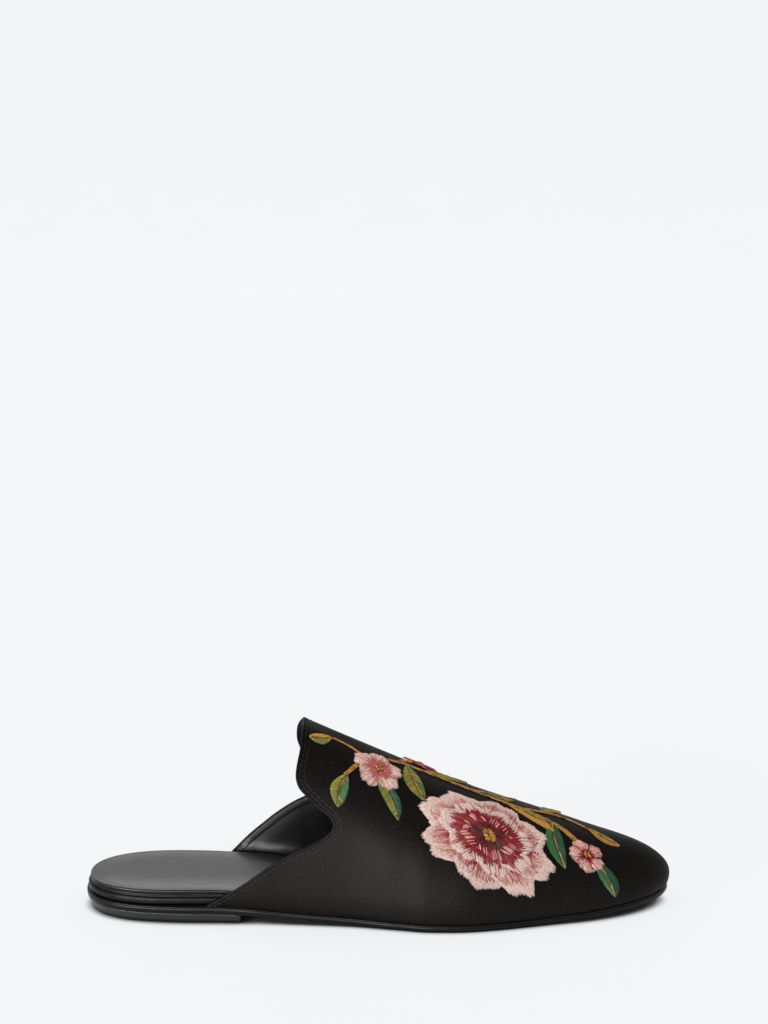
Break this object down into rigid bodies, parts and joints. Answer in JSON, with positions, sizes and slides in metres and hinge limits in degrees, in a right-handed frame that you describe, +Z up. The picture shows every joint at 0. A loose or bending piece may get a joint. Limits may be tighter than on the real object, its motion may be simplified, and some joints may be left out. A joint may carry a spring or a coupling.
{
  "type": "babouche slipper",
  "caption": "Backless flat slipper: a satin upper with a high tongue over the instep, a padded insole, a thin leather sole and a low heel lift.",
  "frame": {"origin": "under the middle of the shoe's bounding box, on the plane it stands on", "axes": "+X from heel to toe, +Y to the inner side of the foot, +Z up"},
  "size_m": [0.268, 0.0884, 0.0858],
  "materials": {
    "satin": "black satin weave with a soft sheen",
    "sock_leather": "smooth black leather, semi-matt",
    "board_cover": "smooth black leather stretched over a board",
    "sole_leather": "black dressed edge with a low polish",
    "heel_leather": "black dressed stack with a low polish",
    "lining_leather": "soft black lining leather",
    "stitching": "black sewing thread",
    "embroidery": "satin-stitch embroidery thread in rose, crimson, gold, olive and green"
  },
  "bodies": {
    "root": {"upper": "satin", "sock_lining": "sock_leather", "insole_board": "board_cover", "outsole": "sole_leather", "heel": "heel_leather"}
  },
  "joints": []
}
